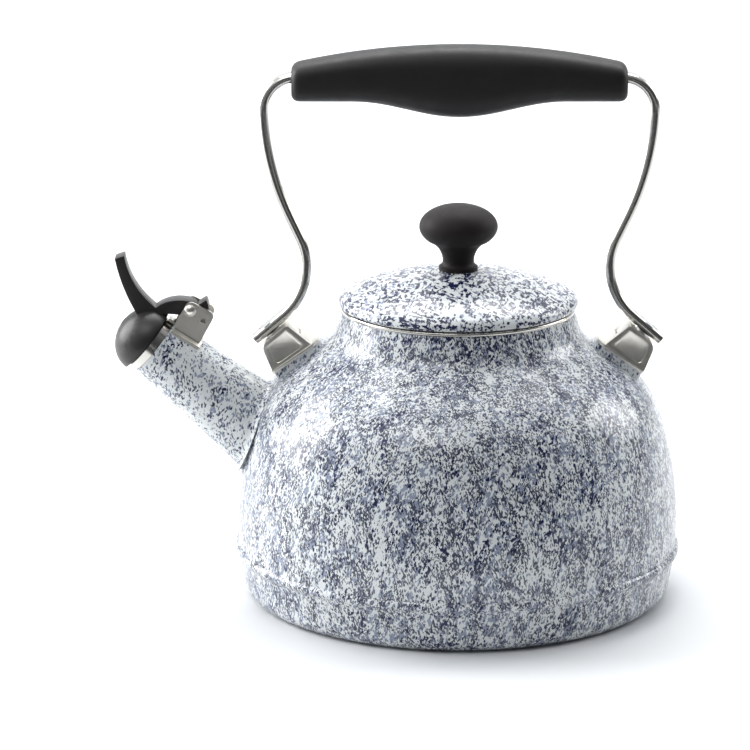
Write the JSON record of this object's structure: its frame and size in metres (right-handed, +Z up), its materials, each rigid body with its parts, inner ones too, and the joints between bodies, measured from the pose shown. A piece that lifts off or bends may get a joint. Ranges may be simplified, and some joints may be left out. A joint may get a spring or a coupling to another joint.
{
  "type": "stovetop whistling kettle",
  "caption": "Rounded enamelled stovetop kettle with a lift-off knobbed lid, a fixed bar handle with a moulded grip, and a sprung whistle cap on its spout.",
  "frame": {"origin": "on the body's axis, in the plane the base stands on", "axes": "+Z up; the spout points along -X; the bar handle stands in the XZ plane; +Y completes a right-handed frame"},
  "size_m": [0.2144, 0.1694, 0.2112],
  "materials": {
    "enamel": "gloss vitreous enamel, white ground flecked with blue",
    "polished_steel": "polished stainless steel",
    "clip_steel": "polished nickel-like plate",
    "fastener_steel": "plain stainless steel",
    "brass": "plain brass",
    "grip_black": "satin black moulding",
    "cap_black": "satin black moulding",
    "knob_black": "satin brown-black moulding",
    "seal_rubber": "soft black rubber"
  },
  "bodies": {
    "kettle": {"body_shell": "enamel", "base_pan": "enamel", "spout": "enamel", "front_lug": "enamel", "rear_lug": "enamel", "spout_collar": "polished_steel", "neck_ring": "polished_steel", "front_arm": "polished_steel", "rear_arm": "polished_steel", "front_bracket": "clip_steel", "rear_bracket": "clip_steel", "hinge_clip": "clip_steel", "hinge_rivet": "clip_steel", "bracket_spacers": "fastener_steel", "bracket_screws": "fastener_steel", "grip_screws": "fastener_steel", "cap_spring": "fastener_steel", "grip": "grip_black"},
    "whistle": {"whistle_cap": "cap_black", "cap_seal": "seal_rubber", "whistle_housing": "fastener_steel", "reed_plate": "brass", "reeds": "brass"},
    "lid": {"lid_dome": "enamel", "lid_skirt": "polished_steel", "lid_knob": "knob_black", "knob_insert": "brass", "knob_screw": "fastener_steel", "knob_washer": "fastener_steel"}
  },
  "joints": [
    {"name": "cap_hinge", "type": "hinge", "parent": "kettle", "child": "whistle", "pos_m": [-0.10085, 0, 0.111], "axis": [0, 1, 0], "range_deg": [0, 50], "stiffness_Nm_per_rad": 0.02, "springref_deg": -34.38, "deforming": ["cap_spring"]},
    {"name": "lid_lift", "type": "slide", "parent": "kettle", "child": "lid", "axis": [0, 0, 1], "range_m": [0, 0.025]}
  ]
}
